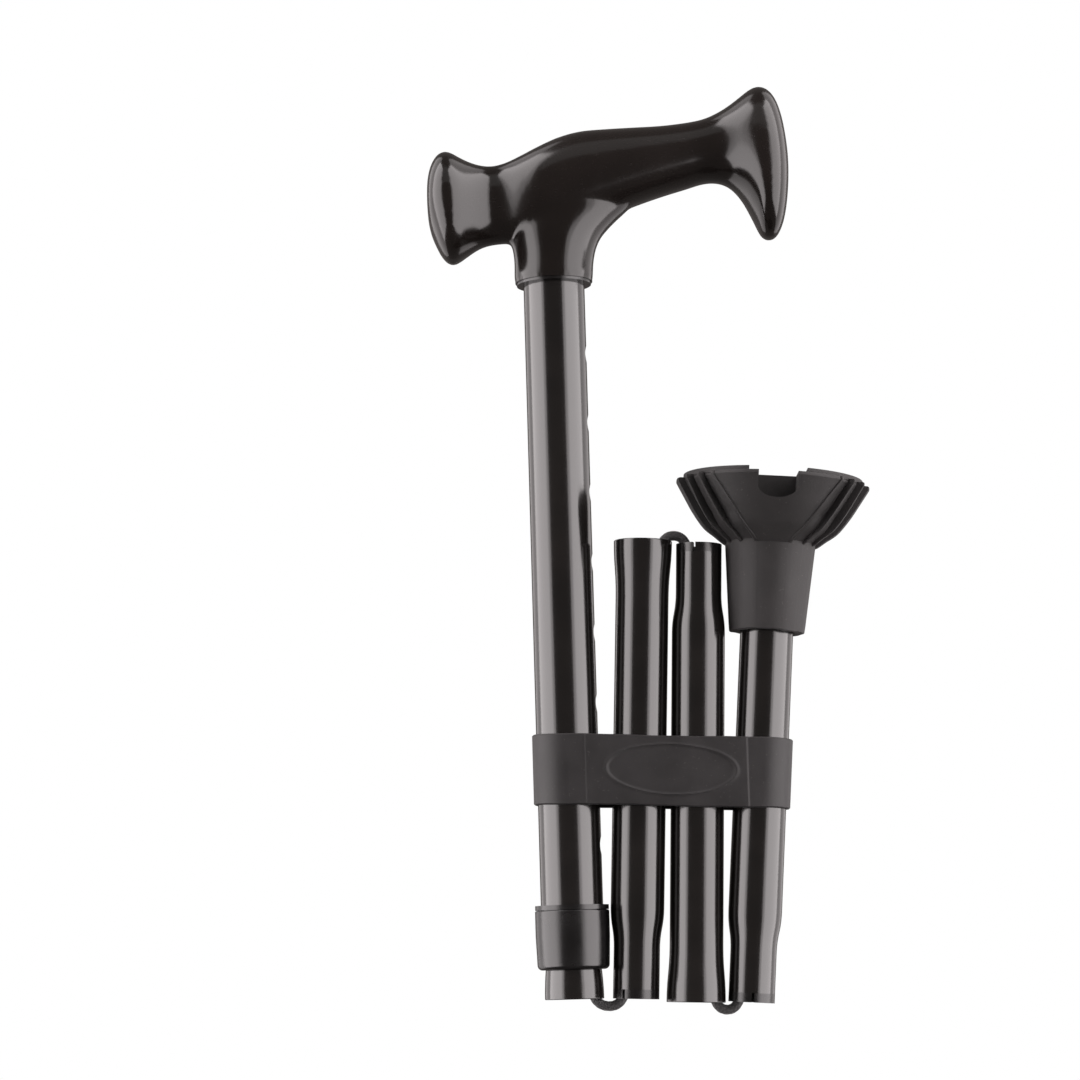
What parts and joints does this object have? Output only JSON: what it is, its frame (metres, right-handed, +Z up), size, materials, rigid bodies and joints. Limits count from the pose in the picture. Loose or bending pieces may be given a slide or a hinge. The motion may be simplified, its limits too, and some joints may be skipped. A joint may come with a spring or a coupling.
{
  "type": "folding single point cane",
  "caption": "Height-adjustable folding walking cane with an offset palm handle, shown folded and banded, with plug-in tube sections on an elastic cord and a wide rubber foot.",
  "frame": {"origin": "on the upper tube's axis at the height where the palm closes on the handle", "axes": "+Z up along the upper tube, +X along the handle towards its palm end and the folded sections, Y across"},
  "size_m": [0.1567, 0.0682, 0.3361],
  "materials": {
    "handle_gloss": "high gloss moulded plastic, black",
    "tube_gloss": "gloss black lacquer on aluminium tube",
    "dark_plastic": "satin black plastic",
    "plug_plastic": "dull black plastic",
    "foot_rubber": "matt dark grey rubber",
    "band_rubber": "matt dark grey rubber",
    "cord": "black braided elastic cord",
    "brass": "bright brass",
    "steel": "plain steel"
  },
  "bodies": {
    "handle_section": {"handle": "handle_gloss", "handle_bush": "dark_plastic", "upper_tube": "tube_gloss", "lock_bushing": "dark_plastic"},
    "lock_collar": {"lock_collar": "dark_plastic"},
    "storage_band": {"storage_band": "band_rubber"},
    "inner_section": {"inner_tube": "tube_gloss", "cord_plug_top": "plug_plastic", "cord_stop_top": "steel", "snap_spring": "steel", "cord_upper": "cord"},
    "snap_button": {"snap_button": "brass"},
    "fold_link_1": {"cord_loop_1": "cord"},
    "section_1": {"middle_tube_1": "tube_gloss", "ferrule_1": "dark_plastic", "cord_middle_1": "cord"},
    "fold_link_2": {"cord_loop_2": "cord"},
    "section_2": {"middle_tube_2": "tube_gloss", "ferrule_2": "dark_plastic", "cord_middle_2": "cord"},
    "fold_link_3": {"cord_loop_3": "cord"},
    "section_3": {"lower_tube": "tube_gloss", "ferrule_3": "dark_plastic", "cord_lower": "cord", "cord_plug_bottom": "plug_plastic", "cord_stop_bottom": "steel", "foot": "foot_rubber", "foot_washer": "steel"}
  },
  "joints": [
    {"name": "collar_twist", "type": "hinge", "parent": "handle_section", "child": "lock_collar", "pos_m": [0, 0, -0.277], "axis": [0, 0, 1], "range_deg": [0, 60]},
    {"name": "height_adjust", "type": "slide", "parent": "handle_section", "child": "inner_section", "axis": [0, 0, -1], "range_m": [0, 0.2095]},
    {"name": "snap_press", "type": "slide", "parent": "inner_section", "child": "snap_button", "axis": [1, 0, 0], "range_m": [0, 0.0038], "stiffness_N_per_m": 600, "springref_m": 0.006, "deforming": ["snap_spring"]},
    {"name": "band_slide", "type": "slide", "parent": "handle_section", "child": "storage_band", "axis": [0, 0, -1], "range_m": [0, 0.1], "deforming": ["storage_band"]},
    {"name": "insert_upper", "type": "slide", "parent": "inner_section", "child": "fold_link_1", "axis": [0, 0, 1], "range_m": [0, 0.0275], "deforming": ["cord_loop_1"]},
    {"name": "fold_upper", "type": "hinge", "parent": "fold_link_1", "child": "section_1", "pos_m": [0.01087, 0, -0.29952], "axis": [0, 1, 0], "range_deg": [0, 177.32]},
    {"name": "fold_middle", "type": "hinge", "parent": "section_1", "child": "fold_link_2", "pos_m": [0.03945, 0, -0.1372], "axis": [0, 1, 0], "range_deg": [-179.62, 0], "deforming": ["cord_loop_2"]},
    {"name": "insert_middle", "type": "slide", "parent": "fold_link_2", "child": "section_2", "axis": [0.0401, 0, 0.9992], "range_m": [0, 0.0275]},
    {"name": "insert_lower", "type": "slide", "parent": "section_2", "child": "fold_link_3", "axis": [0.0401, 0, 0.9992], "range_m": [0, 0.0275], "deforming": ["cord_loop_3"]},
    {"name": "fold_lower", "type": "hinge", "parent": "fold_link_3", "child": "section_3", "pos_m": [0.05271, 0, -0.3019], "axis": [0, 1, 0], "range_deg": [0, 177.85]}
  ],
  "couplings": [
    {"joint": "fold_middle", "follows": "fold_upper", "ratio": -1.013},
    {"joint": "fold_lower", "follows": "fold_upper", "ratio": 1.003}
  ]
}
